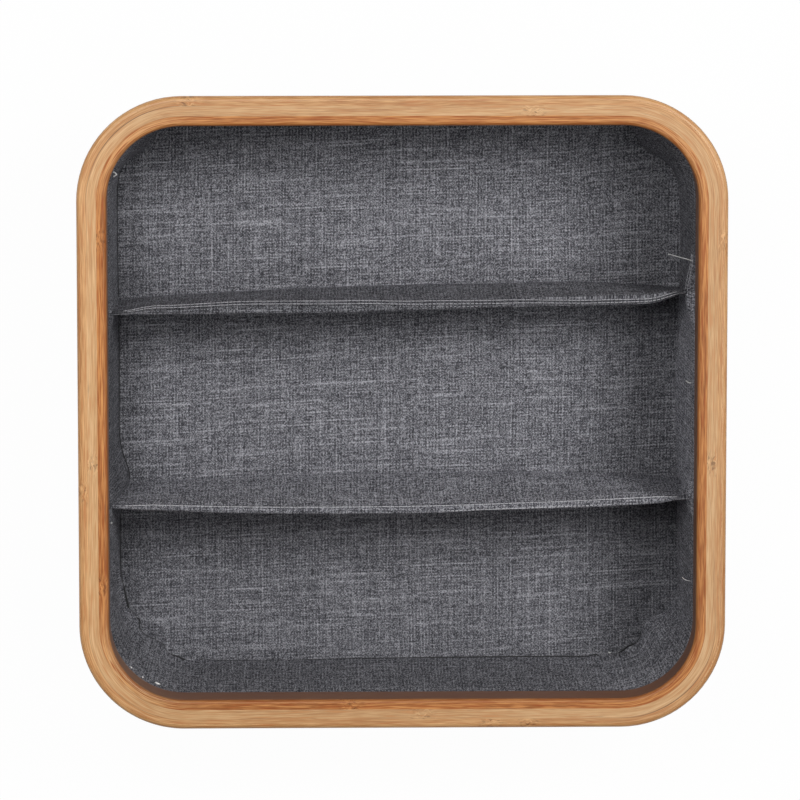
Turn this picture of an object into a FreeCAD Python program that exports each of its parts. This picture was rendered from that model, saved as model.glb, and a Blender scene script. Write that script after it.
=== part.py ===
import FreeCAD, Part
import math
import os

# Storage tray: a soft fabric box with stiffening boards, hung in a rim of bent bamboo, with two sewn
# dividers.
# X runs across the tray, +Y to its back, +Z up. The origin is the middle of the underside. Millimetres.

# Rim: three bamboo strips, bent to a rounded rectangle and glued one inside the other. The outer one thins
# by the taper from its top to its bottom edge.
rim_length = 320.0
rim_width = 315.0
tray_height = 98.0
rim_height = 30.0
rim_corner_radius = 52.0
strip_thickness = 5.0
inner_strip_height = 20.0
rim_top_round = 2.4
rim_bottom_bevel = 0.8
rim_inner_round = 2.0
rim_taper = 3.0

# Layers of the soft box, from the inside out: lining, board, cover
fabric_thickness = 1.1
wall_board_thickness = 2.6
base_board_thickness = 3.0
glue_line = 0.2

# Walls: they lean in towards the floor, and their boards stop short of the soft corners
wall_lean = 3.0
board_corner_gap = 2.0
board_top_gap = 1.5
base_board_clearance = 0.3

# Dividers: a thin board in a folded fabric sleeve, whose pressed ends are sewn into seams of the lining.
# Their tops lie the drop below the top edge of the fabric wall.
divider_drop = 7.6
divider_board_space = 1.5
divider_board_play = 0.1
divider_shoulder = 14.0
divider_neck = 4.0
divider_fold_bevel = 0.8
seam_clearance = 0.15
seam_gap = 0.3

# Where each divider meets the left and right walls, at the floor and at its top, and how far its middle bows
# to the back from the straight line between them
back_left_at_floor = 43.5
back_right_at_floor = 50.0
back_left_at_top = 48.5
back_right_at_top = 54.0
back_bow_at_floor = 4.0
back_bow_at_top = -0.5
front_left_at_floor = -50.5
front_right_at_floor = -47.5
front_left_at_top = -50.0
front_right_at_top = -46.2
front_bow_at_floor = 3.5
front_bow_at_top = -4.0

# One overrun for every cut
overrun = 5.0

# Sizes that follow from those above
wall_stack = 2 * fabric_thickness + wall_board_thickness
inner_strip_thickness = wall_stack + glue_line
rim_band = 2 * strip_thickness + inner_strip_thickness
inner_half_x = rim_length / 2 - rim_band
inner_half_y = rim_width / 2 - rim_band
inner_corner_radius = rim_corner_radius - rim_band
wall_top = tray_height - inner_strip_height - glue_line
floor_under = fabric_thickness + base_board_thickness
floor_top = floor_under + fabric_thickness
divider_top = wall_top - divider_drop
divider_thickness = divider_board_space + 2 * fabric_thickness
tab_thickness = 2 * fabric_thickness


def outline(inset, offset, z):
    """Rounded rectangle of the rim's hole at height z, drawn in by inset and then grown outwards by offset.

    Drawing in moves the sides and keeps the corner radius. Growing adds to the radius too.
    """
    half_x = inner_half_x - inset
    half_y = inner_half_y - inset
    radius = inner_corner_radius
    to_middle = radius - (radius + offset) / math.sqrt(2)
    corners = []
    for sx, sy in ((1, 1), (-1, 1), (-1, -1), (1, -1)):
        on_x_side = FreeCAD.Vector(sx * (half_x + offset), sy * (half_y - radius), z)
        middle = FreeCAD.Vector(sx * (half_x - to_middle), sy * (half_y - to_middle), z)
        on_y_side = FreeCAD.Vector(sx * (half_x - radius), sy * (half_y + offset), z)
        bend = [on_x_side, middle, on_y_side]
        if sx * sy < 0:
            bend.reverse()
        corners.append(bend)
    edges = []
    for i, bend in enumerate(corners):
        following = corners[(i + 1) % len(corners)]
        edges.append(Part.Arc(*bend).toShape())
        edges.append(Part.LineSegment(bend[-1], following[0]).toShape())
    return Part.Wire(edges)


def slab(low, high):
    """Everything between two heights."""
    length = rim_length + 2 * overrun
    width = rim_width + 2 * overrun
    return Part.makeBox(length, width, high - low, FreeCAD.Vector(-length / 2, -width / 2, low))


def wall_form(offset):
    """Solid inside the leaning wall's inner face, grown by offset, from the underside to the wall's top."""
    return Part.makeLoft([outline(wall_lean, offset, 0), outline(0, offset, wall_top)], True, True)


def wall_layer(inner_offset, outer_offset, low, high):
    """Closed band of one layer of the wall."""
    return wall_form(outer_offset).cut(wall_form(inner_offset)).common(slab(low, high))


def rim_prism(offset, low, high):
    """Everything inside the rim's outline at one offset, between two heights."""
    return Part.Face(outline(0, offset, low)).extrude(FreeCAD.Vector(0, 0, high - low))


def edges_along(shape, offset, z):
    """Edges of a strip that follow the rim outline at one offset and height."""
    route = outline(0, offset, z)
    chosen = []
    for edge in shape.Edges:
        middle = Part.Vertex(edge.valueAt((edge.FirstParameter + edge.LastParameter) / 2))
        level = edge.BoundBox.ZLength < glue_line
        if level and middle.distToShape(route)[0] < glue_line:
            chosen.append(edge)
    return chosen


def rim_strips():
    low = tray_height - rim_height
    inner_low = tray_height - inner_strip_height
    outer_in = inner_strip_thickness + strip_thickness
    outer_out = outer_in + strip_thickness
    outer_out_below = outer_out - rim_taper
    within_outer = rim_prism(outer_in, low, tray_height)
    sections = [outline(0, outer_out_below, low), outline(0, outer_out, tray_height)]
    outer = Part.makeLoft(sections, True, True).cut(within_outer)
    outer = outer.makeFillet(rim_top_round, edges_along(outer, outer_out, tray_height))
    outer = outer.makeChamfer(rim_bottom_bevel, edges_along(outer, outer_out_below, low))
    middle = within_outer.cut(rim_prism(inner_strip_thickness, low, tray_height))
    inner = rim_prism(inner_strip_thickness, inner_low, tray_height)
    inner = inner.cut(rim_prism(0, inner_low, tray_height))
    inner = inner.makeFillet(rim_inner_round, edges_along(inner, 0, tray_height))
    return {"rim_outer_strip": outer, "rim_middle_strip": middle, "rim_inner_strip": inner}


def centre_line(places, x, z):
    """Y of a divider's middle plane at x and z: straight up its height, and a parabola across the tray."""
    left_floor, right_floor, bow_floor, left_top, right_top, bow_top = places
    up_share = (z - floor_top) / (divider_top - floor_top)
    left = left_floor + (left_top - left_floor) * up_share
    right = right_floor + (right_top - right_floor) * up_share
    bow = bow_floor + (bow_top - bow_floor) * up_share
    across_share = x / inner_half_x
    return (left + right) / 2 + (right - left) / 2 * across_share + bow * (1 - across_share**2)


def divider_plan(places, stations, z):
    """Outline of a divider at height z.

    Stations are (x, thickness) pairs from the middle to the right end, and the left half mirrors them. The
    two innermost points of each face are joined by an arc, and the others by straight lines.
    """
    across = [(-x, thickness) for x, thickness in reversed(stations)] + list(stations)

    def on_face(x, thickness, side):
        return FreeCAD.Vector(x, centre_line(places, x, z) + side * thickness / 2, z)

    edges = []
    for side, run in ((1, across), (-1, across[::-1])):
        points = [on_face(x, thickness, side) for x, thickness in run]
        crown = on_face(0, stations[0][1], side)
        for i, (start, end) in enumerate(zip(points, points[1:])):
            bowed = i == len(stations) - 1
            curve = Part.Arc(start, crown, end) if bowed else Part.LineSegment(start, end)
            edges.append(curve.toShape())
        edges.append(Part.LineSegment(points[-1], on_face(*run[-1], -side)).toShape())
    return Part.Wire(edges)


def divider_solid(places, stations, low, high):
    """Divider form between two heights."""
    return Part.makeLoft([divider_plan(places, stations, z) for z in (low, high)], True, True)


def divider_board(places, play):
    """Board that fills its space in the sleeve, less the play at its faces, ends and top edge."""
    end = inner_half_x - wall_lean - divider_shoulder - play
    thickness = divider_board_space - 2 * play
    return divider_solid(places, [(end, thickness)], floor_top, divider_top - fabric_thickness - play)


def divider_sleeve(places):
    """Folded fabric over the board, with flat ends that pass through the lining's seams."""
    shoulder = inner_half_x - wall_lean - divider_shoulder + fabric_thickness
    neck = inner_half_x - wall_lean - divider_neck
    end = inner_half_x + fabric_thickness + overrun
    stations = [(shoulder, divider_thickness), (neck, tab_thickness), (end, tab_thickness)]
    folded = [(x, thickness - 2 * divider_fold_bevel) for x, thickness in stations]
    sections = [
        divider_plan(places, stations, floor_top),
        divider_plan(places, stations, divider_top - divider_fold_bevel),
        divider_plan(places, folded, divider_top),
    ]
    sleeve = Part.makeLoft(sections, True, True)
    return sleeve.cut(divider_board(places, 0)).common(wall_form(fabric_thickness))


def seam_cutter(places):
    """Space of a divider's flat ends in the lining, with the closed seam above them."""
    inner = inner_half_x - wall_lean - divider_neck
    end = inner_half_x + fabric_thickness + overrun
    opened = tab_thickness + 2 * seam_clearance
    ends = divider_solid(places, [(end, opened)], floor_top, divider_top + seam_clearance)
    closed = divider_solid(places, [(end, seam_gap)], divider_top, wall_top + overrun)
    middle = Part.makeBox(2 * inner, rim_width, tray_height, FreeCAD.Vector(-inner, -rim_width / 2, 0))
    return ends.fuse(closed).cut(middle)


def lining(all_places):
    """Four wall panels, parted at the dividers' seams, and the floor."""
    band = wall_layer(0, fabric_thickness, floor_top, wall_top)
    panels = band.cut([seam_cutter(places) for places in all_places]).Solids
    by_y = sorted(panels, key=lambda panel: panel.CenterOfMass.y)
    middle = sorted(by_y[1:-1], key=lambda panel: panel.CenterOfMass.x)
    return {
        "lining_front": by_y[0],
        "lining_back": by_y[-1],
        "lining_left": middle[0],
        "lining_right": middle[-1],
        "lining_floor": wall_form(fabric_thickness).common(slab(floor_under, floor_top)),
    }


def boards():
    """Four wall boards between lining and cover, which stop short of the soft corners, and the base board."""
    space = wall_layer(
        fabric_thickness, fabric_thickness + wall_board_thickness, fabric_thickness, wall_top - board_top_gap
    )
    reach_x = inner_half_x - wall_lean - inner_corner_radius - board_corner_gap
    reach_y = inner_half_y - wall_lean - inner_corner_radius - board_corner_gap
    across = Part.makeBox(2 * reach_x, rim_width, tray_height, FreeCAD.Vector(-reach_x, -rim_width / 2, 0))
    along = Part.makeBox(rim_length, 2 * reach_y, tray_height, FreeCAD.Vector(-rim_length / 2, -reach_y, 0))
    front_and_back = sorted(space.common(across).Solids, key=lambda board: board.CenterOfMass.y)
    left_and_right = sorted(space.common(along).Solids, key=lambda board: board.CenterOfMass.x)
    base = wall_form(fabric_thickness - base_board_clearance)
    return {
        "front_board": front_and_back[0],
        "back_board": front_and_back[-1],
        "left_board": left_and_right[0],
        "right_board": left_and_right[-1],
        "base_board": base.common(slab(fabric_thickness, floor_under)),
    }


def cover():
    """Outer fabric in two halves, seamed at the middle of the left and right sides, and the bottom panel."""
    band = wall_layer(fabric_thickness + wall_board_thickness, wall_stack, fabric_thickness, wall_top)
    seam = Part.makeBox(rim_length, seam_gap, tray_height, FreeCAD.Vector(-rim_length / 2, -seam_gap / 2, 0))
    halves = sorted(band.cut(seam).Solids, key=lambda half: half.CenterOfMass.y)
    return {
        "cover_front": halves[0],
        "cover_back": halves[-1],
        "cover_bottom": wall_form(wall_stack).common(slab(0, fabric_thickness)),
    }


back_places = (
    back_left_at_floor, back_right_at_floor, back_bow_at_floor,
    back_left_at_top, back_right_at_top, back_bow_at_top,
)
front_places = (
    front_left_at_floor, front_right_at_floor, front_bow_at_floor,
    front_left_at_top, front_right_at_top, front_bow_at_top,
)

pieces = {}
pieces.update(rim_strips())
pieces.update(cover())
pieces.update(boards())
pieces.update(lining((back_places, front_places)))
for side, places in (("back", back_places), ("front", front_places)):
    pieces[side + "_divider_board"] = divider_board(places, divider_board_play)
    pieces[side + "_divider_sleeve"] = divider_sleeve(places)

os.makedirs("parts", exist_ok=True)
for name, shape in pieces.items():
    solids = shape.Solids
    body = solids[0] if len(solids) == 1 else Part.makeCompound(solids)
    body.exportStep(os.path.join("parts", name + ".step"))
    print(name, len(solids), "solid", round(body.Volume), "mm3", "valid" if body.isValid() else "NOT VALID")
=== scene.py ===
import math

import bpy
import numpy as np
from mathutils import Matrix, Vector


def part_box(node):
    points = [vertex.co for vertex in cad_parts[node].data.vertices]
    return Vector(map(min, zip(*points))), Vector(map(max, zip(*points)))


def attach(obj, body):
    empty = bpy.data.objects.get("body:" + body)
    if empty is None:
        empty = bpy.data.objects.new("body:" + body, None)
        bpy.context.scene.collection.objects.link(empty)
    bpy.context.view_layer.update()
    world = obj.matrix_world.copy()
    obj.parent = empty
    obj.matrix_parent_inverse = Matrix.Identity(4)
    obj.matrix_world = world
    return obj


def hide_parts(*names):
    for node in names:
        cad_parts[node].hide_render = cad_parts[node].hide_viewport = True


# Storage tray: soft box of grey woven fabric in a rim of laminated bamboo, seen from almost straight above.
# Metres, +X to the right, +Y to the back, +Z up.

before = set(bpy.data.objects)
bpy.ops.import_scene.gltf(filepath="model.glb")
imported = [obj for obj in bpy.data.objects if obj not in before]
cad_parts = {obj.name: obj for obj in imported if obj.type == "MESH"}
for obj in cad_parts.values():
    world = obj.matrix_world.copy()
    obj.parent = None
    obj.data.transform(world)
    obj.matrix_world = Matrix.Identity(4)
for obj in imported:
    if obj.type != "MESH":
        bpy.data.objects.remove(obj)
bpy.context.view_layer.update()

scene = bpy.context.scene
MM = 0.001


def mm(*values):
    """Lengths in metres from lengths in millimetres."""
    return np.array(values) * MM


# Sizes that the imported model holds
rim_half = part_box("rim_outer_strip")[1]
hole_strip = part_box("rim_inner_strip")[1]
strip = (rim_half.x - hole_strip.x) / 2
hole_half_x = hole_strip.x - strip
hole_half_y = hole_strip.y - strip
rim_top = rim_half.z
wall_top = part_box("lining_back")[1].z
floor_under, floor_top = (corner.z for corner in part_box("lining_floor"))
fabric = floor_top - floor_under
divider_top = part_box("back_divider_sleeve")[1].z

# Sizes that the model was drawn with
hole_corner = 37 * MM
wall_lean = 3.0 * MM
wall_stack = 4.8 * MM
cover_inside = wall_stack - fabric
divider_half = 1.85 * MM
tab_half = 1.1 * MM
divider_shoulder = 129.1 * MM
divider_neck = 138 * MM
seam_clearance = 0.15 * MM

# Middle plane of each divider: where it meets the left and right walls and how far its middle bows to the
# back, at the floor and at its top
back_plan = (mm(43.5, 50.0, 4.0), mm(48.5, 54.0, -0.5))
front_plan = (mm(-50.5, -47.5, 3.5), mm(-50.0, -46.2, -4.0))

# How far the back divider's left and right ends turn to the back at its top, past the ends of its board,
# and the spans across and up over which they turn
end_turns = mm(-1.4, 3.0)
turn_across = mm(120, 142)
turn_up = mm(20, 66)

# Once round the hole's outline, in four quarters that start at the middle of the right side
arc_centre_x = hole_half_x - hole_corner
arc_centre_y = hole_half_y - hole_corner
quarter = arc_centre_y + hole_corner * math.pi / 2 + arc_centre_x
full_round = 4 * quarter

cloth_step = 2 * MM

# Softness of the cloth: heights over which it sets in, below the walls' top and on the cover, and depths of
# the waves, of the cover's sag in the corners and of its rolled foot
hung_height = 8 * MM
lining_wave = 0.7 * MM
floor_wave = 0.5 * MM
cover_wave = 0.6 * MM
cover_wave_span = mm(66, 58)
cover_sag = 1.6 * MM
foot_roll = 0.9 * MM
foot_height = 3.2 * MM


def stacked(*parts):
    """Points or cloth coordinates from their parts, each an array or one value for all."""
    return np.stack(np.broadcast_arrays(*parts), -1)


def round_hole(s):
    """Points and outward directions on the hole's outline, s round it, and how they lie to their corner.

    The last two arrays are the quarter, from 0 at the back right, and the angle into the corner in degrees:
    0 where the arc leaves the left or right side and 90 where it meets the front or back one.
    """
    s = np.mod(s, full_round)
    number = np.minimum((s / quarter).astype(int), 3)
    local = s - number * quarter
    local = np.where(number % 2 == 1, quarter - local, local)
    angle = (local - arc_centre_y) / hole_corner
    turn = np.clip(angle, 0, math.pi / 2)
    x = arc_centre_x + hole_corner * np.cos(turn) - np.maximum(angle - math.pi / 2, 0) * hole_corner
    y = arc_centre_y + hole_corner * np.sin(turn) + np.minimum(angle, 0) * hole_corner
    sign_x = np.where((number == 1) | (number == 2), -1.0, 1.0)
    sign_y = np.where(number >= 2, -1.0, 1.0)
    point = stacked(sign_x * x, sign_y * y)
    outward = stacked(sign_x * np.cos(turn), sign_y * np.sin(turn))
    return point, outward, number, np.degrees(angle)


# How many quarters round each side's middle is, and which way its x or y runs
side_middles = {"right": (0, 1), "back": (1, -1), "left": (2, -1), "front": (3, 1)}


def place(side, along):
    """Distance round the hole of a point on a side, where along is its x or y."""
    quarters, way = side_middles[side]
    return quarters * quarter + way * along


def hump(value, centre, width):
    """1 at the centre, falling smoothly to about 0 two widths away."""
    return np.exp(-(((value - centre) / width) ** 2))


def rise(value, low, high):
    """Smooth step from 0 at low to 1 at high."""
    share = np.clip((value - low) / (high - low), 0, 1)
    return share * share * (3 - 2 * share)


def ripple(u, v, phase):
    """Slow uneven wave from 0 to 1, of cloth that isn't pulled quite flat."""
    first = np.sin(u / (21 * MM) + 1.7 * np.sin(v / (33 * MM) + phase))
    second = np.sin(v / (17 * MM) + 1.3 * np.sin(u / (41 * MM) + 2 * phase))
    third = np.sin((u + v) / (29 * MM) + 3 * phase)
    return 0.5 + (first + second + third) / 6


# Soft corners of the lining, which no board backs: quarter, angle in degrees, spread in degrees, and how
# far the cloth stands in from the corner's arc at the floor, and the power by which that grows downwards
corner_humps = (
    (0, 45, 32, 12.5 * MM),
    (1, 45, 27, 9.8 * MM),
    (2, 22, 24, 2.6 * MM),
    (2, 62, 20, 3.9 * MM),
    (3, 40, 21, 12.0 * MM),
    (3, 78, 14, 2.6 * MM),
)
corner_growth = 1.15

# Places where a wall of the lining is pulled in: side, x or y there, spread along, depth, height, and
# spread in height
wall_pulls = (
    ("left", *mm(-46, 13, 5.4, 3, 40)),
    ("left", *mm(-43, 8, 1.8, 46, 24)),
    ("left", *mm(-85, 26, 0.5, 5, 40)),
    ("front", *mm(70, 55, 0.6, 5, 40)),
    ("front", *mm(-75, 45, -0.9, 5, 30)),
    ("right", *mm(0, 30, 1.6, 5, 45)),
    ("right", *mm(56, 14, 3.4, 66, 20)),
    ("left", *mm(-121, 10, 3.2, 4, 13)),
    ("left", *mm(-142, 8, 1.8, 4, 13)),
    ("left", *mm(46, 6, 2.0, 60, 24)),
    ("right", *mm(-46, 7, 2.2, 60, 26)),
)

# Creases in the lining's walls, in mm: points (distance round the hole, height), width and depth
wall_creases = (
    (((626, 52), (638, 28), (648, 11), (664, 5.2)), 1.9, 2.4),
    (((920, 5.2), (931, 7.5), (944, 16)), 1.8, 2.0),
    (((696, 6.5), (703, 8), (712, 5.5)), 1.8, 1.6),
    (((1041, 8), (1038, 34), (1040, 54)), 1.5, 1.2),
)


def crease_inset(s, z):
    """How far the creases move the cloth in: out along each crease and a little in on both sides of it."""
    total = np.zeros(np.broadcast(s, z).shape)
    for places, wide, deep in wall_creases:
        points, width, depth = mm(*places), wide * MM, deep * MM
        nearest = np.full(total.shape, 1.0)
        for (s0, z0), (s1, z1) in zip(points, points[1:]):
            ds, dz = s1 - s0, z1 - z0
            share = np.clip(((s - s0) * ds + (z - z0) * dz) / (ds * ds + dz * dz), 0, 1)
            nearest = np.minimum(nearest, np.hypot(s - s0 - share * ds, z - z0 - share * dz))
        total += 0.45 * depth * hump(nearest, 2.4 * width, 1.2 * width) - depth * hump(nearest, 0, width)
    return total


def lining_inset(s, z, number, angle):
    """How far the lining's face stands in from the hole's outline."""
    down = 1 - z / wall_top
    inset = wall_lean * down
    for quarter_number, centre, width, depth in corner_humps:
        here = np.where(number == quarter_number, hump(angle, centre, width), 0)
        inset = inset + here * depth * down ** corner_growth
    hung = np.clip((wall_top - z) / hung_height, 0, 1)
    for side, along, width, depth, height, reach in wall_pulls:
        away = np.mod(s - place(side, along) + full_round / 2, full_round) - full_round / 2
        inset = inset + depth * hump(away, 0, width) * hump(z, height, reach) * hung
    return inset + crease_inset(s, z) * hung + lining_wave * ripple(s, z, 0.8) * hung


def lining_face(s, z, depth=0.0):
    """Points of the lining's inner face, or of a face that lies depth outside it."""
    point, outward, number, angle = round_hole(s)
    inset = lining_inset(s, z, number, angle) - depth
    return np.concatenate([point - outward * inset[..., None], z[..., None]], -1)


def cover_face(s, z, depth):
    """Points of the cover, depth outside the lining's plain face, with soft corners and a rolled foot."""
    point, outward, number, angle = round_hole(s)
    sag = cover_sag * hump(angle, 45, 30) * np.sin(np.clip(z / wall_top, 0, 1) * math.pi)
    proud = cover_wave * ripple(s, z, 2.1) * rise(z, *cover_wave_span)
    rolled = foot_roll * (1 - rise(z, fabric, foot_height)) ** 2
    out = depth - wall_lean * (1 - z / wall_top) - sag + proud - rolled
    return np.concatenate([point + outward * out[..., None], z[..., None]], -1)


def divider_middle(plan, x, z):
    """Y of a divider's middle plane: as the model has it, but for the turned ends of the back one."""
    up = (z - floor_top) / (divider_top - floor_top)
    left, right, bow = (low + (high - low) * up for low, high in zip(*plan))
    across = x / hole_half_x
    y = (left + right) / 2 + (right - left) / 2 * across + bow * (1 - across ** 2)
    if plan is back_plan:
        turned = end_turns[0] * rise(-x, *turn_across) + end_turns[1] * rise(x, *turn_across)
        y = y + turned * rise(z, *turn_up)
    return y


# Meshes


def new_object(name, points, faces, uvs=None, sharp=40):
    """Mesh object with smooth faces, and its flat cloth coordinates in metres where it has them."""
    mesh = bpy.data.meshes.new(name)
    mesh.from_pydata([tuple(p) for p in points], [], faces)
    mesh.update()
    mesh.shade_smooth()
    mesh.set_sharp_from_angle(angle=math.radians(sharp))
    if uvs is not None:
        layer = mesh.uv_layers.new(name="cloth")
        corners = np.zeros(len(mesh.loops), np.int32)
        mesh.loops.foreach_get("vertex_index", corners)
        layer.data.foreach_set("uv", np.asarray(uvs, np.float32)[corners].ravel())
    made = bpy.data.objects.new(name, mesh)
    scene.collection.objects.link(made)
    return made


def slab(name, front, back, uv):
    """Closed sheet between two grids of points, which are seen from their front and back."""
    index = np.arange(front[..., 0].size).reshape(front.shape[:2])
    quads = stacked(index[:-1, :-1], index[:-1, 1:], index[1:, 1:], index[1:, :-1]).reshape(-1, 4)
    ring = np.concatenate([index[0], index[1:, -1], index[-1, -2::-1], index[-2:0:-1, 0]])
    after = np.roll(ring, -1)
    edges = stacked(after, ring, ring + index.size, after + index.size)
    faces = np.concatenate([quads, quads[:, ::-1] + index.size, edges]).tolist()
    points = np.concatenate([front.reshape(-1, 3), back.reshape(-1, 3)])
    uvs = np.concatenate([uv.reshape(-1, 2)] * 2)
    return new_object(name, points, faces, uvs)


def tube(route, radii, sides=6):
    """Points and faces of a closed tube along a route, nowhere upright, with a radius at each point."""
    along = np.gradient(route, axis=0)
    along /= np.linalg.norm(along, axis=1)[:, None]
    side = np.cross(along, (0.0, 0.0, 1.0))
    side /= np.linalg.norm(side, axis=1)[:, None]
    over = np.cross(side, along)
    turns = np.linspace(0, 2 * math.pi, sides, endpoint=False)[:, None]
    outward = side[:, None] * np.cos(turns) + over[:, None] * np.sin(turns)
    rings = route[:, None] + radii[:, None, None] * outward
    index = np.arange(len(route) * sides).reshape(-1, sides)
    after = np.roll(index, -1, axis=1)
    faces = stacked(index[:-1], after[:-1], after[1:], index[1:]).reshape(-1, 4).tolist()
    faces += [index[0, ::-1].tolist(), index[-1].tolist()]
    return rings.reshape(-1, 3), faces


def joined(name, tubes):
    """One object of several tubes."""
    points, faces, first = [], [], 0
    for tube_points, tube_faces in tubes:
        points.append(tube_points)
        faces += [[first + corner for corner in face] for face in tube_faces]
        first += len(tube_points)
    return new_object(name, np.concatenate(points), faces, sharp=60)


# Materials


class Nodes:
    """Short calls for one material's node tree."""

    def __init__(self, name):
        self.material = bpy.data.materials.new(name)
        self.material.use_nodes = True
        self.tree = self.material.node_tree
        self.tree.nodes.clear()

    def node(self, kind, inputs=None, **settings):
        made = self.tree.nodes.new(kind)
        for key, value in settings.items():
            setattr(made, key, value)
        for key, value in (inputs or {}).items():
            if isinstance(value, bpy.types.NodeSocket):
                self.tree.links.new(value, made.inputs[key])
            else:
                made.inputs[key].default_value = value
        return made

    def math(self, operation, *values):
        return self.node("ShaderNodeMath", dict(enumerate(values)), operation=operation).outputs[0]

    def add(self, a, b):
        return self.math("ADD", a, b)

    def minus(self, a, b):
        return self.math("SUBTRACT", a, b)

    def times(self, a, b):
        return self.math("MULTIPLY", a, b)

    def place(self):
        """Place on the object, in metres."""
        return self.node("ShaderNodeTexCoord").outputs["Object"]

    def parts(self, vector):
        return self.node("ShaderNodeSeparateXYZ", {0: vector}).outputs

    def vector(self, x=0.0, y=0.0, z=0.0):
        return self.node("ShaderNodeCombineXYZ", {0: x, 1: y, 2: z}).outputs[0]

    def noise(self, vector, w=None, detail=1.0, scale=1.0):
        inputs = {"Vector": vector, "Scale": scale, "Detail": detail}
        if w is not None:
            inputs["W"] = w
        dimensions = "3D" if w is None else "4D"
        return self.node("ShaderNodeTexNoise", inputs, noise_dimensions=dimensions).outputs[0]

    def span(self, value, low, high, to_low=0.0, to_high=1.0, smooth=False):
        inputs = {"Value": value, "From Min": low, "From Max": high, "To Min": to_low, "To Max": to_high}
        interpolation = "SMOOTHSTEP" if smooth else "LINEAR"
        return self.node("ShaderNodeMapRange", inputs, interpolation_type=interpolation).outputs[0]

    def hump(self, value, centre, width):
        """1 at the centre and 0 a width away."""
        away = self.math("ABSOLUTE", self.minus(value, centre))
        return self.span(away, 0.0, width, 1.0, 0.0, smooth=True)

    def colours(self, factor, stops):
        """Colour ramp through (place, (red, green, blue)) stops."""
        made = self.node("ShaderNodeValToRGB", {0: factor})
        ramp = made.color_ramp
        while len(ramp.elements) < len(stops):
            ramp.elements.new(0.5)
        for element, (position, colour) in zip(ramp.elements, stops):
            element.position = position
            element.color = (*colour, 1.0)
        return made.outputs[0]

    def blend(self, factor, a, b, kind="MIX"):
        a, b = ((*value, 1.0) if isinstance(value, tuple) else value for value in (a, b))
        made = self.node("ShaderNodeMix", {0: factor, 6: a, 7: b}, data_type="RGBA", blend_type=kind)
        return made.outputs[2]

    def shaded(self, colour, share):
        """A colour times a share."""
        shares = self.node("ShaderNodeCombineColor", {0: share, 1: share, 2: share}).outputs[0]
        return self.blend(1.0, colour, shares, "MULTIPLY")

    def bump(self, height, distance, strength=1.0):
        inputs = {"Height": height, "Distance": distance, "Strength": strength}
        return self.node("ShaderNodeBump", inputs).outputs[0]

    def finish(self, colour, normal=None, roughness=0.5, **sockets):
        inputs = {"Base Color": colour, "Roughness": roughness}
        inputs.update({key.replace("_", " "): value for key, value in sockets.items()})
        if normal is not None:
            inputs["Normal"] = normal
        shader = self.node("ShaderNodeBsdfPrincipled", inputs).outputs[0]
        self.node("ShaderNodeOutputMaterial", {0: shader})
        return self.material


def scaled(colour, share):
    """A colour that is lighter or darker by a share."""
    return tuple(min(channel * share, 1) for channel in colour)


# Bamboo

rim_mid_radius = hole_corner + 1.5 * strip
rim_round = 4 * (arc_centre_x + arc_centre_y) + 2 * math.pi * rim_mid_radius

# Tones of the three strips: darkest, middle, lightest and reddest
tan = ((0.375, 0.164, 0.055), (0.53, 0.275, 0.107), (0.66, 0.383, 0.174), (0.475, 0.188, 0.060))
pale = ((0.41, 0.202, 0.081), (0.54, 0.305, 0.133), (0.645, 0.405, 0.206), (0.53, 0.247, 0.093))
brown = ((0.272, 0.089, 0.022), (0.467, 0.178, 0.050), (0.615, 0.281, 0.093), (0.33, 0.081, 0.015))
# Inner face of the inner strip: its brown, darkened by painted shade
inner_face_in_shade = (0.225, 0.168, 0.155)

# Each strip's material, tones, seed of its grain, and its culm nodes' x and y in mm
rim_strips = {
    "rim_outer_strip": (
        "bamboo_outer", tan, 1.0, ((157, 86), (-105, 154), (-156, -38), (44, -155), (63, -155))
    ),
    "rim_middle_strip": ("bamboo_middle", pale, 5.0, ((152, -25), (-153, -24), (64, 149), (10, -149))),
    "rim_inner_strip": ("bamboo_inner", brown, 9.0, ((-147, 87), (-147, -85), (-26, -145))),
}

# Painted light: how much lighter the rim is painted on the left, and from which x to which that fades
painted_left_light = 1.2
painted_left_light_fade = mm(-165, -125)

# Glue line's half width, how strong the lines outside the inner and the middle strip are, and the corners
# where they show
glue_reach = 0.35 * MM
glue_strengths = (0.3, 0.85)
glue_corners = ((-rim_half.x, rim_half.y), (-rim_half.x, -rim_half.y), (rim_half.x, -rim_half.y))

# Corners where the inner strip is as pale as its neighbour: x and y, and how much
pale_corners = (
    (-rim_half.x, -rim_half.y, 0.9),
    (-rim_half.x, rim_half.y, 0.45),
    (rim_half.x, rim_half.y, 0.3),
)

# How far round the rim a culm node, the glue in a corner and a pale corner reach
node_reach = 9 * MM
glue_corner_reach = 62 * MM
pale_corner_reach = 58 * MM


def rim_coordinates(n):
    """How far round the rim a point is, how far outside the hole, and its x and height, in metres."""
    x, y, z = n.parts(n.place())
    from_x, from_y = n.math("ABSOLUTE", x), n.math("ABSOLUTE", y)
    past_x = n.math("MAXIMUM", n.minus(from_x, arc_centre_x), 0.0)
    past_y = n.math("MAXIMUM", n.minus(from_y, arc_centre_y), 0.0)
    reach = n.math("SQRT", n.add(n.times(past_x, past_x), n.times(past_y, past_y)))
    turn = n.times(n.math("ARCTAN2", past_y, past_x), rim_mid_radius)
    on_side = n.math("MINIMUM", from_y, arc_centre_y)
    on_back = n.minus(arc_centre_x, n.math("MINIMUM", from_x, arc_centre_x))
    in_quarter = n.add(n.add(on_side, turn), on_back)
    left, front = n.math("LESS_THAN", x, 0.0), n.math("LESS_THAN", y, 0.0)
    half = n.math("ABSOLUTE", n.minus(n.times(left, rim_round / 2), in_quarter))
    around = n.math("ABSOLUTE", n.minus(n.times(front, rim_round), half))
    return around, n.minus(reach, hole_corner), x, z


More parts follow.
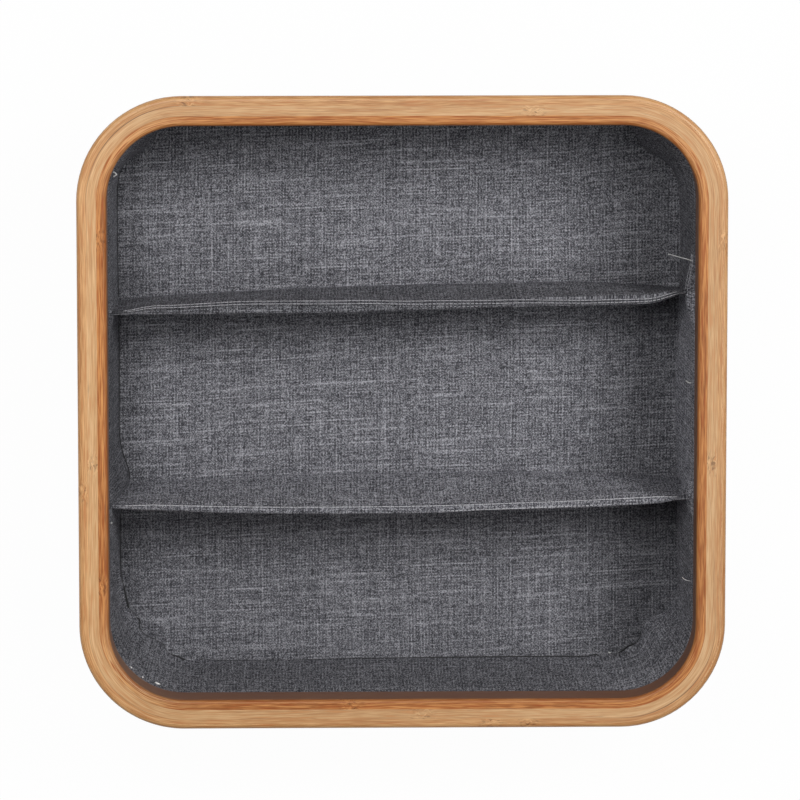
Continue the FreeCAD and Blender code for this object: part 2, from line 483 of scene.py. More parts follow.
def rim_place(x, y):
    """Distance round the rim, as rim_coordinates gives it, of a point of it."""
    past_x, past_y = max(abs(x) - arc_centre_x, 0), max(abs(y) - arc_centre_y, 0)
    in_quarter = min(abs(y), arc_centre_y) + math.atan2(past_y, past_x) * rim_mid_radius
    in_quarter += arc_centre_x - min(abs(x), arc_centre_x)
    half = rim_round / 2 - in_quarter if x < 0 else in_quarter
    return rim_round - half if y < 0 else half


def near_places(n, around, places, reach):
    """Mask along the rim: 1 at any of some (x, y) places on it, and 0 a reach away."""
    mask = 0.0
    for x, y in places:
        mask = n.math("MAXIMUM", n.hump(around, rim_place(x, y), reach), mask)
    return mask


def grain_noise(n, around, z):
    """Function that makes noise with features of two sizes in mm, along and across a strip's fibres."""
    turn = n.times(around, 2 * math.pi / rim_round)
    radius = rim_round / (2 * math.pi)
    ring_x, ring_y = n.times(n.math("COSINE", turn), radius), n.times(n.math("SINE", turn), radius)

    def grain(out, along, across, offset, detail=1.0):
        along, across = 1 / (along * MM), 1 / (across * MM)
        vector = n.vector(n.times(ring_x, along), n.times(ring_y, along), n.times(out, across))
        return n.noise(vector, n.add(n.times(z, across), offset), detail=detail)

    return grain


def with_pale_corners(n, colour, mix, around):
    """The inner strip's colour, with corners as pale as the middle strip."""
    paler = n.colours(mix, tuple(zip((0.0, 0.5, 1.0), pale)))
    for x, y, strength in pale_corners:
        here = n.times(n.hump(around, rim_place(x, y), pale_corner_reach), strength)
        colour = n.blend(here, colour, paler)
    return colour


def with_glue_lines(n, colour, dark, around, out):
    """Thin dark lines of glue between the strips, which show in the corners, where the strips are bent."""
    in_corner = near_places(n, around, glue_corners, glue_corner_reach)
    for number, strength in enumerate(glue_strengths, 1):
        at_glue = n.hump(n.minus(out, number * strip), 0.0, glue_reach)
        colour = n.blend(n.times(at_glue, n.times(in_corner, strength)), colour, scaled(dark, 0.35))
    return colour


def with_inner_face(n, colour, dark, out, z):
    """The inner strip's face below its top edge, in its own brown darkened by painted shade, and painted
    shade beside the fabric.
    """
    face = n.span(z, rim_top - 0.6 * MM, rim_top - 2 * MM)
    colour = n.blend(n.times(face, 0.6), colour, inner_face_in_shade)
    near = n.span(out, 2.6 * MM, 0.4 * MM)
    return n.blend(n.times(near, 0.45), colour, scaled(dark, 0.7))


def bamboo(name, tones, seed, culm_nodes):
    """Bent bamboo strip: long fibres that follow the rim, and culm nodes with short wild grain."""
    n = Nodes(name)
    inner = name == "bamboo_inner"
    dark, middle, light, red = tones
    around, out, x, z = rim_coordinates(n)
    at_nodes = near_places(n, around, mm(*culm_nodes), node_reach)
    grain = grain_noise(n, around, z)
    wander = n.times(n.minus(grain(out, 40, 5, seed), 0.5), 1.0 * MM)
    wild = n.minus(grain(out, 2.5, 2.2, seed + 3), 0.5)
    out = n.add(out, n.add(wander, n.times(wild, n.times(at_nodes, 3.5 * MM))))
    tone = grain(out, 90, 3.2, seed + 11)
    streak = grain(out, 34, 0.7, seed + 17, 2.0)
    fibre = grain(out, 7, 0.30, seed + 23)
    fleck = grain(out, 3.0, 0.9, seed + 31)
    strand = grain(out, 12, 0.36, seed + 61, 0.0)
    mix = n.add(n.times(tone, 0.8), n.add(n.times(streak, 0.7), n.times(fibre, 0.9)))
    mix = n.span(mix, 0.98, 1.42) if inner else n.span(mix, 0.90, 1.50)
    colour = n.colours(mix, ((0.0, dark), (0.5, middle), (1.0, light)))
    if inner:
        colour = with_pale_corners(n, colour, mix, around)
    lines = n.times(n.span(streak, 0.60, 0.70), n.span(fibre, 0.50, 0.62))
    flecks = n.times(n.span(fleck, 0.56, 0.66), at_nodes)
    marks = (
        (n.span(strand, 0.54, 0.70), 0.9, red),
        (n.span(strand, 0.42, 0.30), 0.45, scaled(light, 1.18)),
        (lines, 0.5, scaled(dark, 0.55)),
        (flecks, 0.75, scaled(dark, 0.4)),
        (n.times(n.span(fleck, 0.44, 0.34), at_nodes), 0.6, scaled(light, 1.25)),
    )
    for mask, strength, tone in marks:
        colour = n.blend(n.times(mask, strength), colour, tone)
    colour = with_glue_lines(n, colour, dark, around, out)
    if inner:
        colour = with_inner_face(n, colour, dark, out, z)
    # Painted light on the left part of the rim
    colour = n.shaded(colour, n.span(x, *painted_left_light_fade, painted_left_light, 1.0))
    height = n.add(n.times(fibre, 0.6), n.times(streak, 0.6))
    height = n.minus(height, n.times(n.add(lines, flecks), 0.5))
    roughness = n.span(fibre, 0.3, 0.7, 0.40, 0.52)
    coat, shine = (0.03, 0.3) if inner else (0.12, 0.5)
    return n.finish(colour, n.bump(height, 0.06 * MM, 0.6), roughness, Coat_Weight=coat, Coat_Roughness=0.3,
                    Specular_IOR_Level=shine)


# Woven fabric

greys = ((0.040, 0.040, 0.046), (0.150, 0.150, 0.167), (0.42, 0.42, 0.45))
weft_pitch = 0.76 * MM
warp_pitch = 0.82 * MM
fibre_pitch = 0.45 * MM
run_length = 8 * MM
slub_length = 48 * MM

# How much a thread's own tone, a fibre's tone and the two thread directions differ, and how strong the
# slubs are
weft_share = 1.1
warp_share = 0.8
cell_share = 0.8
over_share = 0.08
pair_share = 0.22
weft_slubs = 0.6
warp_slubs = 0.5

# Where a cloth's painted shade and light begin and end: on a divider's top, at the front and at the left
# and right walls, and where its grain gets calmer to the front
top_span = (divider_top - 2.5 * MM, divider_top - 0.5 * MM)
front_span = mm(-62, -85)
left_span = mm(-142, -126)
right_span = mm(75, 125)
calm_span = mm(-30, -75)
calm_share = 0.92


def painted_light_greys(share):
    """The greys of a piece of cloth, lighter or darker than the rest as painted light or shade."""
    return tuple(scaled(grey, share) for grey in greys)


def thread_tone(n, along, index, seed, run_share, slub_share, length):
    """Brightness of one thread of mixed light and dark fibres, along its length."""
    run = n.noise(n.vector(n.times(along, 1 / length), n.add(n.times(index, 7.31), seed)), detail=1.0)
    slub_at = n.vector(n.times(along, 1 / slub_length), n.add(n.times(index, 5.63), seed + 50))
    slub = n.noise(slub_at, detail=0.0)
    tone = n.times(n.minus(run, 0.5), run_share)
    tone = n.add(tone, n.times(n.span(slub, 0.60, 0.82), slub_share))
    pair = n.minus(n.math("FLOORED_MODULO", index, 2.0), 0.5)
    return n.add(tone, n.times(n.times(pair, pair_share), n.span(slub, 0.25, 0.6, 1.5, 0.5)))


def fibre_tone(n, run_u, run_v, cell_up, on_top):
    """Random tone of each cell, one thread's length on the face: it is short again on a divider's top."""
    reach = n.span(on_top, 0.0, 1.0, 1 / (cell_up * fibre_pitch), 1 / fibre_pitch)
    column, row = n.math("FLOOR", n.times(run_u, 1 / fibre_pitch)), n.math("FLOOR", n.times(run_v, reach))
    inputs = {"Vector": n.vector(column, row)}
    return n.node("ShaderNodeTexWhiteNoise", inputs, noise_dimensions="2D").outputs[0]


def crown_height(n, across, up):
    """How far a thread stands out of the cloth, from 0 at its edges to 1 in its middle."""
    crown = 1.0
    for run in (across, up):
        inside = n.minus(n.math("FRACT", run), 0.5)
        crown = n.times(crown, n.minus(1.0, n.times(n.times(inside, inside), 4.0)))
    return crown


def painted_cloth_shade(n, place_at, painted_top_shade, painted_front_shade, ends):
    """Painted shade or light: how much darker or lighter the cloth is on a divider's top, front and side
    walls.
    """
    x, y, z = place_at
    shade = n.span(z, *top_span, 1.0, painted_top_shade)
    shade = n.times(shade, n.span(y, *front_span, 1.0, painted_front_shade))
    shade = n.times(shade, n.span(x, *left_span, ends[0], 1.0))
    return n.times(shade, n.span(x, *right_span, 1.0, ends[1]))


def weave(name, tones, tilt=0.0, cell_up=1.0, grain=1.0, painted_top_shade=1.0, painted_front_shade=1.0, warp_more=1.0,
          ends=(1.0, 1.0)):
    """Plain weave of mixed grey threads with slubs, over the cloth coordinates.

    The threads across rise by the tilt. A cell, one thread's length on the face, is cell_up times as long
    up the cloth as across it. The grain scales how much the tones differ. The painted top shade darkens a
    divider's top fold, which faces the lamps; the painted front shade darkens the front, where the grain is
    calmer too; and the ends are painted shade or light at the left and right walls. With more warp the
    threads that run up differ more, and over longer runs.
    """
    n = Nodes(name)
    dark, middle, light = tones
    uv = n.node("ShaderNodeUVMap", uv_map="cloth").outputs[0]
    slow = n.node("ShaderNodeTexNoise", {"Vector": uv, "Scale": 9.0, "Detail": 1.0}, noise_dimensions="2D")
    drift = n.parts(slow.outputs[1])
    u, v, _ = n.parts(uv)
    run_u = n.add(u, n.times(n.minus(drift[0], 0.5), 3 * MM))
    run_v = n.add(n.add(v, n.times(u, -tilt)), n.times(n.minus(drift[1], 0.5), 4 * MM))
    across, up = n.times(run_u, 1 / warp_pitch), n.times(run_v, 1 / weft_pitch)
    warp_number, weft_number = n.math("FLOOR", across), n.math("FLOOR", up)
    place_at = n.parts(n.place())
    on_top = n.math("GREATER_THAN", place_at[2], divider_top - 1.0 * MM) if painted_top_shade < 1 else 0.0
    cell = fibre_tone(n, run_u, run_v, cell_up, on_top)
    warp_run = run_length * warp_more ** 2
    weft = thread_tone(n, run_u, weft_number, 3.0, weft_share, weft_slubs, run_length)
    warp = thread_tone(n, run_v, warp_number, 91.0, warp_share * warp_more, warp_slubs, warp_run)
    over = n.math("FLOORED_MODULO", n.add(warp_number, weft_number), 2.0)
    crown = crown_height(n, across, up)
    weft_shows, warp_shows = n.minus(0.7, n.times(over, 0.25)), n.add(0.35, n.times(over, 0.25))
    tone = n.add(n.times(weft, weft_shows), n.times(warp, warp_shows))
    tone = n.add(tone, n.times(n.minus(cell, 0.5), cell_share))
    tone = n.add(tone, n.times(n.minus(over, 0.5), -over_share))
    # Painted shade between the threads: darker at each thread's edges and lighter on its crown
    tone = n.add(tone, n.times(n.minus(crown, 0.44), 0.3))
    if painted_front_shade < 1:
        grain = n.span(place_at[1], *calm_span, grain, calm_share * grain)
    tone = n.add(n.times(tone, grain), 0.365)
    colour = n.colours(tone, ((0.0, dark), (0.45, middle), (1.0, light)))
    # Painted shade and light over the cloth's colour
    if painted_top_shade < 1 or painted_front_shade < 1 or ends != (1.0, 1.0):
        colour = n.shaded(colour, painted_cloth_shade(n, place_at, painted_top_shade, painted_front_shade, ends))
    return n.finish(colour, n.bump(crown, 0.10 * MM, 0.4), 0.95, Specular_IOR_Level=0.1)


def thread_material(name, colour):
    """Twisted sewing thread."""
    n = Nodes(name)
    place_at = n.place()
    x, y, z = n.parts(place_at)
    twist = n.math("SINE", n.times(n.add(x, n.add(y, z)), 2 * math.pi / (0.7 * MM)))
    factor = n.add(n.times(twist, 0.2), n.noise(place_at, scale=300.0))
    mixed = n.colours(factor, ((0.2, scaled(colour, 0.55)), (0.7, colour)))
    return n.finish(mixed, n.bump(twist, 0.05 * MM, 0.5), 0.7, Sheen_Weight=0.2)


def board_material():
    """Grey-brown pressed board with short fibres."""
    n = Nodes("pressed_board")
    fine = n.noise(n.place(), detail=3.0, scale=900.0)
    broad = n.noise(n.place(), detail=2.0, scale=60.0)
    tone = n.add(n.times(fine, 0.7), n.times(broad, 0.3))
    dark, middle, light = (0.19, 0.155, 0.115), (0.32, 0.27, 0.21), (0.42, 0.37, 0.30)
    colour = n.colours(tone, ((0.3, dark), (0.5, middle), (0.7, light)))
    return n.finish(colour, n.bump(fine, 0.08 * MM, 0.4), 0.85)


# Camera: a little to the back and left of straight above the rim's middle, and aimed at a place beside it

camera_distance = 3.0
camera_away = camera_distance * Vector((-0.022, 0.149, 1)).normalized()
aim_beside = Vector((-1.33 * MM, 7.3 * MM, 0))
picture = 800
focal_px = 6100


def make_camera():
    target = Vector((0, 0, rim_top))
    position = target + camera_away
    forward = (target + aim_beside - position).normalized()
    right = forward.cross(Vector((0, 1, 0))).normalized()
    up = right.cross(forward)
    data = bpy.data.cameras.new("camera")
    data.sensor_width = 36
    data.lens = data.sensor_width * focal_px / picture
    data.clip_end = 20
    camera = bpy.data.objects.new("camera", data)
    camera.matrix_world = Matrix((right, up, -forward)).transposed().to_4x4()
    camera.matrix_world.translation = position
    scene.collection.objects.link(camera)
    scene.camera = camera


# Floor, world and lamps

# Each lamp's direction from the tray, size and power
lamp_distance = 1.9
lamps = {
    "key": ((0.54, 0.42, 1), 0.65, 16.3),
    "back_left": ((-0.22, 0.36, 1), 0.75, 13.5),
    "front_right": ((0.42, -0.16, 1), 0.6, 5.5),
    "low_left": ((-1.1, 0.1, 1), 0.9, 3.2),
    "below": ((0.3, -0.4, -1), 0.9, 9.0),
}
world_strength = 0.07

floor_reach = 4.0
floor_height = -0.1 * MM
floor_white = 0.975


def white_floor():
    """White for the camera and reflections, plain with a soft shadow for the rest, and clear from below."""
    n = Nodes("white_floor")
    plain = n.node("ShaderNodeBsdfDiffuse", {0: (0.8, 0.8, 0.8, 1)}).outputs[0]
    white = n.node("ShaderNodeEmission", {0: (1, 1, 1, 1), 1: 1.0}).outputs[0]
    path = n.node("ShaderNodeLightPath").outputs
    seen = n.math("MAXIMUM", path["Is Glossy Ray"], path["Is Transmission Ray"])
    seen = n.math("MAXIMUM", path["Is Camera Ray"], seen)
    top = n.node("ShaderNodeMixShader", {0: n.times(seen, floor_white), 1: plain, 2: white}).outputs[0]
    below = n.node("ShaderNodeNewGeometry").outputs["Backfacing"]
    clear = n.node("ShaderNodeBsdfTransparent").outputs[0]
    both = n.node("ShaderNodeMixShader", {0: below, 1: top, 2: clear}).outputs[0]
    n.node("ShaderNodeOutputMaterial", {0: both})
    return n.material


def make_floor():
    """Floor of the scene, which lets the lamp below light the underside."""
    side, low = floor_reach, floor_height
    corners = [(-side, -side, low), (side, -side, low), (side, side, low), (-side, side, low)]
    floor = new_object("floor", corners, [(0, 1, 2, 3)])
    floor.data.materials.append(white_floor())
    floor.visible_shadow = False


def make_lamp(name, direction, size, energy):
    """Round soft lamp a good way off, that points at the tray."""
    lamp = bpy.data.lights.new(name, "AREA")
    lamp.shape = "DISK"
    lamp.size = size
    lamp.energy = energy
    placed = bpy.data.objects.new(name, lamp)
    placed.location = Vector(direction).normalized() * lamp_distance
    placed.rotation_mode = "QUATERNION"
    placed.rotation_quaternion = (-placed.location).to_track_quat("-Z", "Y")
    scene.collection.objects.link(placed)


def make_light():
    """Pale world and soft lamps: two above the back, weak ones front right and low left, and one below."""
    world = bpy.data.worlds.new("studio")
    world.use_nodes = True
    background = world.node_tree.nodes["Background"]
    background.inputs[0].default_value = (1, 1, 1, 1)
    background.inputs[1].default_value = world_strength
    scene.world = world
    for name, (direction, size, energy) in lamps.items():
        make_lamp(name, direction, size, energy)
    scene.view_settings.view_transform = "Standard"


# Pieces


def keep(piece, material, slot, *nodes):
    """Gives a piece its material, ties it to the root and hides the nodes that it stands for; the slot is
    not used.
    """
    piece.data.materials.append(material)
    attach(piece, "root")
    if nodes:
        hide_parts(*nodes)


def heights(low, high, *extra):
    """Heights about a cloth step apart, with some more that a seam needs."""
    count = max(2, round((high - low) / cloth_step) + 1)
    return np.array(sorted(set(np.linspace(low, high, count)) | set(extra)))


# Heights of the step in the lining's seams over a divider's end and of the points beside it, and height
# above which the seams stand upright
seam_step = divider_top + seam_clearance
beside_step = (seam_step - 0.05 * MM, seam_step + 0.25 * MM)
seam_upright = divider_top + 8 * MM


def seam(plan, side, toward):
    """Function of height: where round the hole a lining panel ends at a divider, on its toward side.

    The panel leaves room for the divider's end, and above that it meets the next panel.
    """
    x = hole_half_x if side == "right" else -hole_half_x

    def edge(z):
        gap = np.where(z <= seam_step, tab_half + seam_clearance, seam_clearance)
        return place(side, divider_middle(plan, x, np.minimum(z, seam_upright)) + toward * gap)

    return edge


def lining_panel(name, start, end):
    """Wall panel of the lining from start(z) to end(z) round the hole, and its flat width."""
    z = heights(floor_top, wall_top, *beside_step)
    first, last = start(z), end(z)
    last = np.where(last < first, last + full_round, last)
    width = float(np.max(last - first))
    share = np.linspace(0, 1, max(2, round(width / cloth_step) + 1))
    s = first[:, None] + (last - first)[:, None] * share[None]
    tall = np.broadcast_to(z[:, None], s.shape)
    grids = lining_face(s, tall), lining_face(s, tall, fabric), stacked(s, tall)
    return slab(name, *(grid[:, ::-1] for grid in grids)), width


# Each wall panel of the lining: where it starts and ends, its tone, and what else its weave has
# The tones are painted light: the left wall is painted darker and the right one lighter, and the front
# panel's ends paint light at its right end
lining_walls = {
    "back": (seam(back_plan, "right", 1), seam(back_plan, "left", 1), 1.0, {}),
    "left": (seam(back_plan, "left", -1), seam(front_plan, "left", 1), 0.8, {"warp_more": 1.8}),
    "front": (seam(front_plan, "left", -1), seam(front_plan, "right", -1), 1.0, {"ends": (1.0, 1.3)}),
    "right": (seam(front_plan, "right", 1), seam(back_plan, "right", -1), 1.7, {}),
}


def make_lining():
    for side, (start, end, tone, more) in lining_walls.items():
        name = "lining_" + side
        piece, width = lining_panel("cloth_" + name, start, end)
        look = weave("weave_" + name, painted_light_greys(tone), cell_up=3.0, grain=1.05, **more)
        keep(piece, look, "lining_fabric", name)


def rounded_grid(offset, inset, count):
    """Grid of x and y over the inside of the hole's outline, grown by offset and drawn in by inset."""
    share = np.linspace(-1, 1, count)
    a, b = np.meshgrid(share, share)
    half_x, half_y = hole_half_x + offset - inset, hole_half_y + offset - inset
    radius = hole_corner + offset
    y = b * half_y
    past = np.clip(np.abs(y) - (half_y - radius), 0, radius)
    reach = half_x - radius + np.sqrt(radius ** 2 - past ** 2)
    return a * reach, y


# Spans beside a divider and beside a wall over which the floor's cloth gets free to wave
beside_divider = mm(3, 14)
beside_wall = mm(8, 22)


def make_floor_panel(material):
    lean = wall_lean * (1 - floor_top / wall_top)
    x, y = rounded_grid(fabric, lean, 97)
    away = np.minimum(*(np.abs(y - divider_middle(plan, x, floor_top)) for plan in (back_plan, front_plan)))
    edge = np.minimum(hole_half_x - np.abs(x), hole_half_y - np.abs(y))
    free = rise(away, *beside_divider) * rise(edge, *beside_wall)
    z = floor_top + floor_wave * ripple(x, y, 0.3) * free
    piece = slab("cloth_lining_floor", stacked(x, y, z), stacked(x, y, floor_under), stacked(x, y))
    keep(piece, material, "lining_fabric", "lining_floor")


# Fold along a divider's top: how far its back (1) and front (-1) edges lie from the middle plane, at places
# across
fold_round = 0.9 * MM
fold_places = mm(-139, -121, -75, -25, 10, 51, 97, 126, 139)
back_fold = {
    1: mm(1.1, 2.2, 3.6, 3.0, 2.1, 1.6, 0.4, 0.3, 1.1),
    -1: mm(1.1, 2.6, 2.4, 3.1, 2.8, 2.4, 2.6, 2.6, 1.1),
}
front_fold = {
    1: mm(1.1, 2.0, 2.0, 2.1, 2.1, 2.2, 2.0, 1.8, 1.1),
    -1: mm(1.1, 1.2, 1.65, 1.7, 1.9, 1.3, 2.1, 2.1, 1.0),
}

# Rows of stitches: x places, distances in from the fold's back edge, and how high they lie on the fold
back_rows = (
    (mm(-138, 138), mm(0.3, 0.3), -0.10 * MM),
    (mm(-136, -118, -95, -60, 40, 60, 138), mm(1.0, 1.4, 1.6, 1.7, 1.95, 1.8, 1.5), 0.05 * MM),
    (mm(-88, -60, 38), mm(2.9, 3.1, 3.2), -0.15 * MM),
)
front_rows = (
    (mm(-138, 138), mm(0.3, 0.3), -0.10 * MM),
    (mm(20, 105), mm(3.0, 3.0), -0.10 * MM),
)

# Grooves in the fold, pulled in by the stitches: x places, distances in, width and depth
back_grooves = (
    (back_rows[1][0], back_rows[1][1] / 2 + 0.15 * MM, 0.26 * MM, 1.0 * MM),
    (back_rows[1][0], back_rows[1][1] + 0.65 * MM, 0.26 * MM, 0.8 * MM),
)
front_grooves = ((front_rows[0][0], front_rows[0][1] + 0.9 * MM, 0.35 * MM, 0.25 * MM),)

# Looseness of the dividers' cloth: side, x, spread along, depth, height, spread in height
back_loose = (
    (1, *mm(-121, 14, 0.8, 6, 26)),
    (1, *mm(85, 30, 1.4, 8, 34)),
    (-1, *mm(-60, 50, 1.2, 58, 12)),
)
front_loose = ((1, *mm(100, 30, 1.3, 8, 34)),)

# Depth of the waves in the dividers' cloth, least distance of a layer from the middle plane, steps over the
# fold, and points just below it
divider_wave = 0.6 * MM
least_half = 0.03 * MM
fold_steps = 48
below_fold = mm(2.2, 1.5)

# Spans over which the dividers' waves fade, at their ends, foot and top, and over which the cloth gets as
# wide or as narrow as the fold
fading_ends = (112 * MM, divider_shoulder)
fading_foot = (floor_top, 12 * MM)
fading_top = (divider_top - 1 * MM, divider_top - 9 * MM)
widening = (divider_top - 22 * MM, divider_top - 3 * MM)
thinning = (divider_top - 1.7 * MM, divider_top - fold_round)


def smooth_between(x, places, values):
    """Values at x from a table, joined by smooth steps."""
    number = np.clip(np.searchsorted(places, x) - 1, 0, len(places) - 2)
    share = rise(x, places[number], places[number + 1])
    return values[number] * (1 - share) + values[number + 1] * share


def cloth_distance(x, z, side, fold, loose):
    """How far a divider's cloth lies from its middle plane, on its back (1) or front (-1) side.

    The divider narrows from its board to its sewn ends.
    """
    narrowing = rise(np.abs(x), divider_shoulder, divider_neck)
    body = divider_half + (tab_half - divider_half) * narrowing
    ends = 1 - rise(np.abs(x), *fading_ends)
    up = rise(z, *fading_foot)
    below_top = rise(z, *fading_top)
    wave = divider_wave * ripple(x * 0.8, z * 1.6, 1.1 + side) * below_top
    for loose_side, centre, width, depth, height, reach in loose:
        if loose_side == side:
            wave = wave + depth * hump(x, centre, width) * hump(z, height, reach)
    edge = smooth_between(x, fold_places, fold[side]) - body
    wide = np.maximum(edge, 0) * rise(z, *widening)
    narrow = np.minimum(edge, 0) * rise(z, *thinning)
    return body + wave * ends * up + wide + narrow


def fold_row(plan, x, high, angle, back, front, grooves):
    """Row of points over a divider's top, at an angle that falls from its back to its front edge."""
    y = divider_middle(plan, x, high) + (back - front) / 2 + (back + front) / 2 * math.sin(angle)
    z = np.full_like(x, high) - fold_round * (1 - math.cos(angle) ** 0.7)
    inward = (back + front) * (1 - math.sin(angle)) / 2
    for places, distances, width, depth in grooves:
        z = z - depth * hump(inward, np.interp(x, places, distances), width)
    return stacked(x, y, z)


def divider_grid(plan, fold, loose, layer, grooves):
    """Points up a divider's back, over its fold and down its front, with cloth coordinates.

    The layer is how far below the cloth's face they lie.
    """
    high = divider_top - layer
    across = np.linspace(-1, 1, round(2 * hole_half_x / cloth_step) + 1)

    def x_at(z):
        return across * (hole_half_x - wall_lean * (1 - z / wall_top) + fabric)

    def out_at(x, z, side):
        return np.maximum(cloth_distance(x, z, side, fold, loose) - layer, least_half)

    def side_row(z, side):
        x = x_at(z)
        return stacked(x, divider_middle(plan, x, z) + side * out_at(x, z, side), z)

    levels = heights(floor_top, high - fold_round, *(high - below_fold))
    back_side = [side_row(z, 1) for z in levels]
    front_side = [side_row(z, -1) for z in levels[::-1]]
    x = x_at(high)
    back, front = (out_at(x, high - fold_round, side) for side in (1, -1))
    angles = np.arcsin(np.linspace(1, -1, fold_steps + 1)[1:-1])
    top = [fold_row(plan, x, high, angle, back, front, grooves) for angle in angles]
    points = np.array(back_side + top + front_side)
    steps = np.median(np.linalg.norm(np.diff(points, axis=0), axis=2), axis=1)
    travelled = np.concatenate([[0], np.cumsum(steps)])
    run = stacked(points[..., 0], travelled[:, None])
    return points, run


def make_divider(side, plan, fold, loose, grooves, material):
    front, uv = divider_grid(plan, fold, loose, 0.0, grooves)
    back, _ = divider_grid(plan, fold, loose, fabric, ())
    piece = slab("cloth_" + side + "_divider", front, back, uv)
    keep(piece, material, "divider_fabric", side + "_divider_sleeve")


def make_cover(material):
    z = heights(fabric, wall_top)
    for side, middle in (("back", quarter), ("front", 3 * quarter)):
        first, last = middle - quarter + seam_clearance, middle + quarter - seam_clearance
        s, tall = np.meshgrid(np.linspace(first, last, round((last - first) / cloth_step) + 1), z)
        outer, inner = cover_face(s, tall, wall_stack), cover_face(s, tall, cover_inside)
        piece = slab("cloth_cover_" + side, outer, inner, stacked(s, tall))
        keep(piece, material, "cover_fabric", "cover_" + side)
    grown = wall_stack - foot_roll
    x, y = (grid[:, ::-1] for grid in rounded_grid(grown, wall_lean, 81))
    piece = slab("cloth_cover_bottom", stacked(x, y, 0.0), stacked(x, y, fabric), stacked(x, y))
    keep(piece, material, "cover_fabric", "cover_bottom")


# Sewing thread

thread_radius = 0.17 * MM
stitch_length = 1.7 * MM
stitch_space = 0.4 * MM
stitch_points = 7


def stitches(route, radius=thread_radius):
    """Tubes of the stitches along a dense route: each one rises out of the cloth and dips back into it."""
    run = np.concatenate([[0], np.cumsum(np.linalg.norm(np.diff(route, axis=0), axis=1))])
    made, start = [], stitch_space
    while start + stitch_length < run[-1]:
        places = start + stitch_length * np.linspace(0, 1, stitch_points)
        points = stacked(*(np.interp(places, run, route[:, axis]) for axis in range(3)))
        points[:, 2] -= radius * 1.4 * np.abs(np.linspace(-1, 1, stitch_points)) ** 3
        made.append(tube(points, np.full(stitch_points, radius)))
        start += stitch_length + stitch_space
    return made


def fold_route(plan, fold, row):
    """Route of a row of stitches along a divider's top."""
    places, from_back, lift = row
    x = np.linspace(places[0], places[-1], 500)
    inward = np.interp(x, places, from_back)
    y = divider_middle(plan, x, divider_top) + smooth_between(x, fold_places, fold[1]) - inward
    return stacked(x, y, divider_top + lift)


def make_topstitching(side, plan, fold, rows, material):
    """Rows of stitches along a divider's top."""
    tubes = []
    for row in rows:
        tubes += stitches(fold_route(plan, fold, row))
    keep(joined("topstitch_" + side + "_divider", tubes), material, "divider_fabric")


def on_lining(points, lift):
    """Dense route over the lining's face through (distance round the hole, height) points."""
    s, z = np.array(points).T
    share = np.linspace(0, 1, len(s))
    dense = np.linspace(0, 1, 400)
    return lining_face(np.interp(dense, share, s), np.interp(dense, share, z), -lift)


# Where the dark line at the front wall's foot, a painted shadow, is thicker: distance round the hole,
# spread and how much
shadow_line_bunches = mm(
    (632, 18, 0.22), (654, 12, 0.38), (664, 7, 0.30), (704, 7, 0.40), (870, 42, 0.26), (931, 13, 0.38)
)

# Painted shadow lines at the feet of the left and front walls: from and to round the hole, and their least
# radius
shadow_lines = mm((430, 497, 0.16), (503, 590, 0.22), (598, 948, 0.08))

# How far up and in these lines run, and how much their height and their radius wander
shadow_line_up = 0.35 * MM
shadow_line_in = 0.25 * MM
shadow_line_wander = 0.25 * MM
shadow_line_swell = 0.12 * MM


def make_floor_shadow_line(material):
    """Painted shadow: a dark tube along the foot of the left and front walls, thicker where the cloth is
    bunched.
    """
    tubes = []
    for first, last, least in shadow_lines:
        s = np.linspace(first, last, round((last - first) / MM))
        z = floor_top + shadow_line_up + shadow_line_wander * ripple(s * 3, s, 0.4)
        radii = least + shadow_line_swell * ripple(s * 2.2, s * 5, 1.3)
        for bunch, width, more in shadow_line_bunches:
            radii = radii + more * hump(s, bunch, width)
        tubes.append(tube(lining_face(s, z, -shadow_line_in), radii, 8))
    keep(joined("painted_shadow_floor_edge", tubes), material, "lining_fabric")


# Stitches on the right wall: (distance round the hole, height) places of the lower row, how much higher
# each row is, and the threads' radius and how far in they lie
wall_row = mm((57, 67.5), (61, 68), (66, 68.5), (71, 69), (76, 69.5))
wall_row_rises = mm(0.0, 3.2)
wall_thread_radius = 0.19 * MM
wall_thread_in = 0.25 * MM


def make_wall_stitching(material):
    """Double row of stitches on the right wall, from the back divider's end up towards the rim."""
    tubes = []
    for higher in wall_row_rises:
        tubes += stitches(on_lining(wall_row + (0.0, higher), wall_thread_in), wall_thread_radius)
    keep(joined("topstitch_right_wall", tubes), material, "lining_fabric")


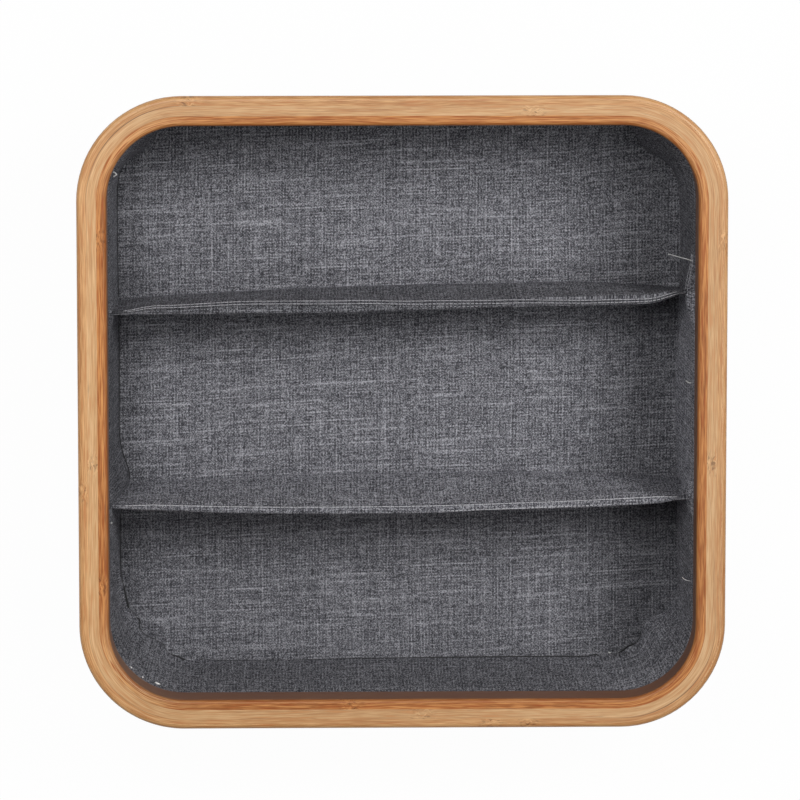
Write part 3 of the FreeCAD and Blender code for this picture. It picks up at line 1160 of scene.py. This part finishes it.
# Loose thread ends and bits of lint, in mm: radius, or radii from end to end, and points
end_radius = 0.22
thick_end_radius = 0.38
lint_radii = (0.15, 0.42, 0.18)
thread_bits = (
    (
        end_radius,
        (132.5, 74.8, 62), (135.4, 74.3, 64), (138.2, 73.7, 66), (141.2, 73.1, 68), (143.8, 72.4, 70),
    ),
    (
        end_radius,
        (140.3, -87.2, 66), (141.1, -88.1, 66), (142.3, -88.8, 66.3), (143.7, -89.1, 66.8),
        (145, -89.2, 67),
    ),
    (
        thick_end_radius,
        (-142, 117.3, 70), (-141.2, 116.8, 70.3), (-140.5, 116.1, 70.5), (-141.2, 115.5, 70.3),
        (-142, 115, 70),
    ),
    (thick_end_radius, (141.6, 11.9, 66), (142.3, 11.3, 67), (143.1, 11.1, 68), (143.8, 11.2, 69)),
    (lint_radii, (-135.1, -129.6, 76.6), (-134.7, -130.0, 77.0), (-134.3, -130.3, 76.8)),
    (lint_radii, (-129.4, -134.5, 77.0), (-129.0, -134.9, 77.2), (-128.6, -135.1, 76.8)),
    (lint_radii, (-144.3, -57.2, 71.6), (-144.1, -57.8, 72.0), (-144.3, -58.3, 71.7)),
    (lint_radii, (-123.0, -137.4, 76.8), (-121.7, -138.0, 77.3), (-120.3, -138.5, 76.9)),
    (lint_radii, (106.9, -136.6, 5.6), (107.5, -136.9, 5.9), (108.2, -136.8, 5.6)),
)


def make_thread_ends(material):
    """Loose white thread ends and bits of lint."""
    tubes = [tube(mm(*points), np.ones(len(points)) * radii * MM) for radii, *points in thread_bits]
    keep(joined("thread_ends", tubes), material, "lining_fabric")


def dress(node_name, look):
    """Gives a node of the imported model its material."""
    for material_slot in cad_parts[node_name].material_slots:
        material_slot.material = look


make_camera()
make_light()
make_floor()

for node_name, strip_look in rim_strips.items():
    dress(node_name, bamboo(*strip_look))
board_look = board_material()
for node_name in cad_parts:
    if node_name.endswith("_board"):
        dress(node_name, board_look)

# Painted shade on the floor: darker at the front and along the left and right walls
floor_look = weave("floor_weave", greys, tilt=0.045, painted_front_shade=0.88, ends=(0.78, 0.82))
# Painted light: the dividers' greys are lighter than the rest, with painted shade on their top folds
back_divider_look = weave("back_divider_weave", painted_light_greys(1.15), cell_up=3.0, grain=1.2, painted_top_shade=0.5)
front_divider_look = weave("front_divider_weave", painted_light_greys(1.5), cell_up=3.0, grain=1.2, painted_top_shade=0.58)
cover_look = weave("cover_weave", greys)
make_lining()
make_floor_panel(floor_look)
make_divider("back", back_plan, back_fold, back_loose, back_grooves, back_divider_look)
make_divider("front", front_plan, front_fold, front_loose, front_grooves, front_divider_look)
make_cover(cover_look)
back_thread = thread_material("sewing_thread", (0.50, 0.50, 0.53))
front_thread = thread_material("light_sewing_thread", (0.64, 0.64, 0.67))
make_topstitching("back", back_plan, back_fold, back_rows, back_thread)
make_topstitching("front", front_plan, front_fold, front_rows, front_thread)
make_wall_stitching(thread_material("pale_thread", (0.45, 0.45, 0.48)))
# Near-black tubes that paint the shadow in the crease at the walls' foot
make_floor_shadow_line(thread_material("painted_shadow_thread", (0.012, 0.012, 0.014)))
make_thread_ends(thread_material("white_thread", (0.92, 0.92, 0.90)))
